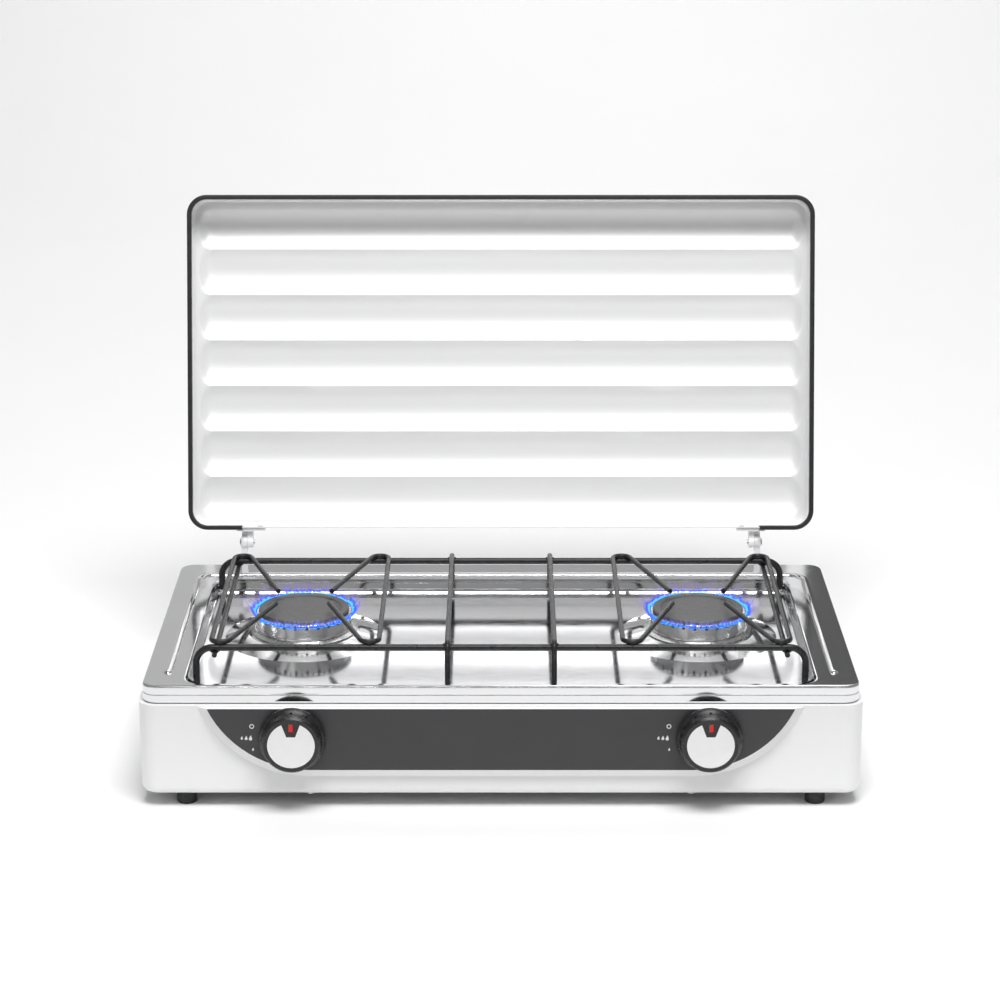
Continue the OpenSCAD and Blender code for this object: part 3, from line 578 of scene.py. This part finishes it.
class STOVE_OT_flames(bpy.types.Operator):
    """Lights both burners, as part of the studio and not of the stove"""

    bl_idname = "stove.flames"
    bl_label = "Flames"

    def execute(self, context):
        rng = random.Random(7)
        length = context.scene.stove_sizes.flame
        zones = (
            flame_material("flame_root", (0.01, 0.08, 0.85), 1.0, 0.9),
            flame_material("flame_middle", (0.12, 0.55, 1.0), 1.25, 0.85),
            flame_material("flame_edge", (0.03, 0.14, 1.0), 1.1, 0.6),
            flame_material("flame_tip", (0.25, 0.2, 1.0), 1.0, 0.2),
        )
        haze = flame_material("flame_haze", (0.5, 0.42, 1.0), 1.0, 0.1)
        for side in SIDES:
            low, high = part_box(f"flame_ring_{side}")
            centre = (low + high) / 2
            radius = (high.x - low.x) / 2 - 0.0008
            top = high.z - 0.0012
            bm = bmesh.new()
            count = 78
            for i in range(count):
                angle = 2 * math.pi * (i + rng.uniform(-0.3, 0.3)) / count
                reach = length * rng.uniform(0.65, 1.2)
                wide = 0.0025 * rng.uniform(0.7, 1.25)
                out = Vector((math.cos(angle), math.sin(angle), 0))
                side_way = Vector((-out.y, out.x, 0))
                rows = []
                steps = 12
                for k in range(steps + 1):
                    t = k / steps
                    base = Vector((centre.x, centre.y, top)) + out * (radius + reach * 0.62 * t)
                    base.z += reach * (0.12 * t + 0.5 * t * t)
                    swell = 0.35 + 0.65 * math.sin(math.pi * min(1, 0.15 + 0.85 * t))
                    half = wide * swell * (1 - 0.55 * t * t)
                    row = []
                    for j in range(8):
                        b = 2 * math.pi * j / 8
                        up = Vector((0, 0, half * 0.8 * math.sin(b)))
                        row.append(bm.verts.new(base + side_way * half * math.cos(b) + up))
                    rows.append(row)
                for k, (a, b) in enumerate(zip(rows, rows[1:])):
                    for j in range(8):
                        face = bm.faces.new((a[j], a[(j + 1) % 8], b[(j + 1) % 8], b[j]))
                        face.material_index = 0 if k < 1 else 1 if k < 4 else 2 if k < 7 else 3
            flames = mesh_piece(f"flames_{side}", bm, zones[0])
            for zone in zones[1:]:
                flames.data.materials.append(zone)
            flames.visible_shadow = flames.visible_glossy = False
            bm = bmesh.new()
            veils = 150
            for i in range(veils):
                angle = 2 * math.pi * i / veils
                reach = length * rng.uniform(0.9, 1.6)
                wide = 0.0019
                out = Vector((math.cos(angle), math.sin(angle), 0))
                side_way = Vector((-out.y, out.x, 0))
                start = Vector((centre.x, centre.y, top)) + out * radius
                tip = start + out * reach * 0.85 + Vector((0, 0, reach * 0.55))
                low_edge, high_edge = side_way * wide, side_way * wide * 0.4
                corners = (start - low_edge, start + low_edge, tip + high_edge, tip - high_edge)
                bm.faces.new([bm.verts.new(c) for c in corners])
            veil = mesh_piece(f"flame_haze_{side}", bm, haze)
            veil.visible_shadow = veil.visible_glossy = False
        return {"FINISHED"}


# ------------------------------------------------------------------ studio


def area_light(name, place, aim, size, power, colour=(1, 1, 1)):
    """A soft rectangular lamp that looks at a point."""
    data = bpy.data.lights.new(name, "AREA")
    data.shape = "RECTANGLE"
    data.size, data.size_y = size
    data.energy = power
    data.color = colour
    lamp = bpy.data.objects.new(name, data)
    lamp.location = place
    lamp.rotation_euler = (Vector(aim) - Vector(place)).to_track_quat("-Z", "Y").to_euler()
    bpy.context.scene.collection.objects.link(lamp)
    return lamp


def reflector(name, centre, half, tone, flat=False, soft=False):
    """A card out of the camera's sight, seen by polished metal or, if soft, by matt surfaces."""
    mat = bpy.data.materials.new(name)
    mat.use_nodes = True
    tree = mat.node_tree
    tree.nodes.clear()
    out = tree.nodes.new("ShaderNodeOutputMaterial")
    glow = tree.nodes.new("ShaderNodeEmission")
    glow.inputs["Color"].default_value = (tone, tone, tone, 1)
    tree.links.new(glow.outputs[0], out.inputs["Surface"])
    bm = bmesh.new()
    corners = [(-1, -1), (1, -1), (1, 1), (-1, 1)]
    across = Vector((half[0], 0, 0))
    along = Vector((0, half[1], 0)) if flat else Vector((0, 0, half[1]))
    bm.faces.new([bm.verts.new(Vector(centre) + across * a + along * b) for a, b in corners])
    card = mesh_piece(name, bm, mat, smooth=False)
    card.visible_camera = card.visible_shadow = card.visible_transmission = False
    card.visible_diffuse = soft
    card.visible_glossy = not soft


class STOVE_OT_studio(bpy.types.Operator):
    """Lays the floor, sets the lights and places the camera"""

    bl_idname = "stove.studio"
    bl_label = "Studio"

    def execute(self, context):
        scene = context.scene
        studio = scene.stove_studio
        floor_mat = finish_material("pale_floor", grey(0.86), Roughness=0.75)
        vary_colour(floor_mat, noise(floor_mat, 2, 2), grey(0.855), grey(0.865))
        bm = bmesh.new()
        across, steps = 8.0, 24
        sweep = [math.pi / 2 * i / steps for i in range(steps + 1)]
        bend = [(2.2 + 1.6 * math.sin(a), 1.6 - 1.6 * math.cos(a)) for a in sweep]
        curve = [(-6.0, 0.0)] + bend + [(3.8, 6.0)]
        rows = [[bm.verts.new((x, y, z)) for x in (-across, across)] for y, z in curve]
        for a, b in zip(rows, rows[1:]):
            bm.faces.new((a[0], a[1], b[1], b[0]))
        mesh_piece("studio_floor", bm, floor_mat)
        world = scene.world or bpy.data.worlds.new("studio")
        scene.world = world
        world.use_nodes = True
        background = world.node_tree.nodes["Background"]
        background.inputs["Color"].default_value = (1, 1, 1, 1)
        background.inputs["Strength"].default_value = studio.sky
        area_light("key_light", (0.15, -1.1, 2.4), (0, 0.05, 0.15), (1.5, 0.9), studio.key)
        area_light("floor_light", (0.3, 2.8, 2.9), (0, 2.9, 0), (3.4, 1.6), studio.back)
        reflector("dark_flag_right", (0.52, 0.62, 0.32), (0.2, 0.26), 0.12)
        reflector("grey_flag_left", (-0.5, 0.62, 0.32), (0.19, 0.26), 0.55)
        reflector("grey_flag_behind", (0, 0.62, 0.19), (0.3, 0.1), 0.4)
        reflector("dark_flag_above", (0, -0.9, 1.9), (1.6, 0.28), 0.02, flat=True)
        reflector("grey_flag_floor", (0, -1.53, 0.01), (1.6, 1.2), 0.3, flat=True, soft=True)
        area_light("fill_light", (-1.6, -1.8, 1.4), (0, 0, 0.15), (1.6, 1.2), studio.fill)
        camera_data = bpy.data.cameras.new("camera")
        camera_data.lens = studio.lens
        camera_data.sensor_width = 36
        camera_data.shift_x = -0.0009
        camera = bpy.data.objects.new("camera", camera_data)
        camera.location = (0.0, -2.225, 0.8862)
        camera.rotation_euler = (math.radians(73), 0, 0)
        scene.collection.objects.link(camera)
        scene.camera = camera
        scene.view_settings.view_transform = "Standard"
        return {"FINISHED"}


ORDER = (
    STOVE_OT_white_enamel,
    STOVE_OT_hob_steel,
    STOVE_OT_burner_metal,
    STOVE_OT_burner_caps,
    STOVE_OT_wires,
    STOVE_OT_controls,
    STOVE_OT_rubber,
    STOVE_OT_gas_parts,
    STOVE_OT_lid,
    STOVE_OT_weld_beads,
    STOVE_OT_flames,
    STOVE_OT_studio,
)


class STOVE_PT_panel(bpy.types.Panel):
    """Lists the stove's settings and steps"""

    bl_idname = "STOVE_PT_panel"
    bl_label = "Camping stove"
    bl_space_type = "VIEW_3D"
    bl_region_type = "UI"
    bl_category = "Camping stove"

    def draw(self, context):
        for group in ("stove_finishes", "stove_sizes", "stove_studio"):
            settings = getattr(context.scene, group)
            box = self.layout.box()
            for key in settings.__annotations__:
                box.prop(settings, key)
        for step in ORDER:
            self.layout.operator(step.bl_idname)


GROUPS = (
    ("stove_finishes", StoveFinishes),
    ("stove_sizes", StoveSizes),
    ("stove_studio", StoveStudio),
)


def register():
    for name, group in GROUPS:
        bpy.utils.register_class(group)
        setattr(bpy.types.Scene, name, bpy.props.PointerProperty(type=group))
    for cls in (*ORDER, STOVE_PT_panel):
        bpy.utils.register_class(cls)


def unregister():
    for cls in (STOVE_PT_panel, *reversed(ORDER)):
        bpy.utils.unregister_class(cls)
    for name, group in reversed(GROUPS):
        delattr(bpy.types.Scene, name)
        bpy.utils.unregister_class(group)


def main():
    register()
    for step in ORDER:
        area, name = step.bl_idname.split(".")
        getattr(getattr(bpy.ops, area), name)()


if __name__ == "__main__":
    main()
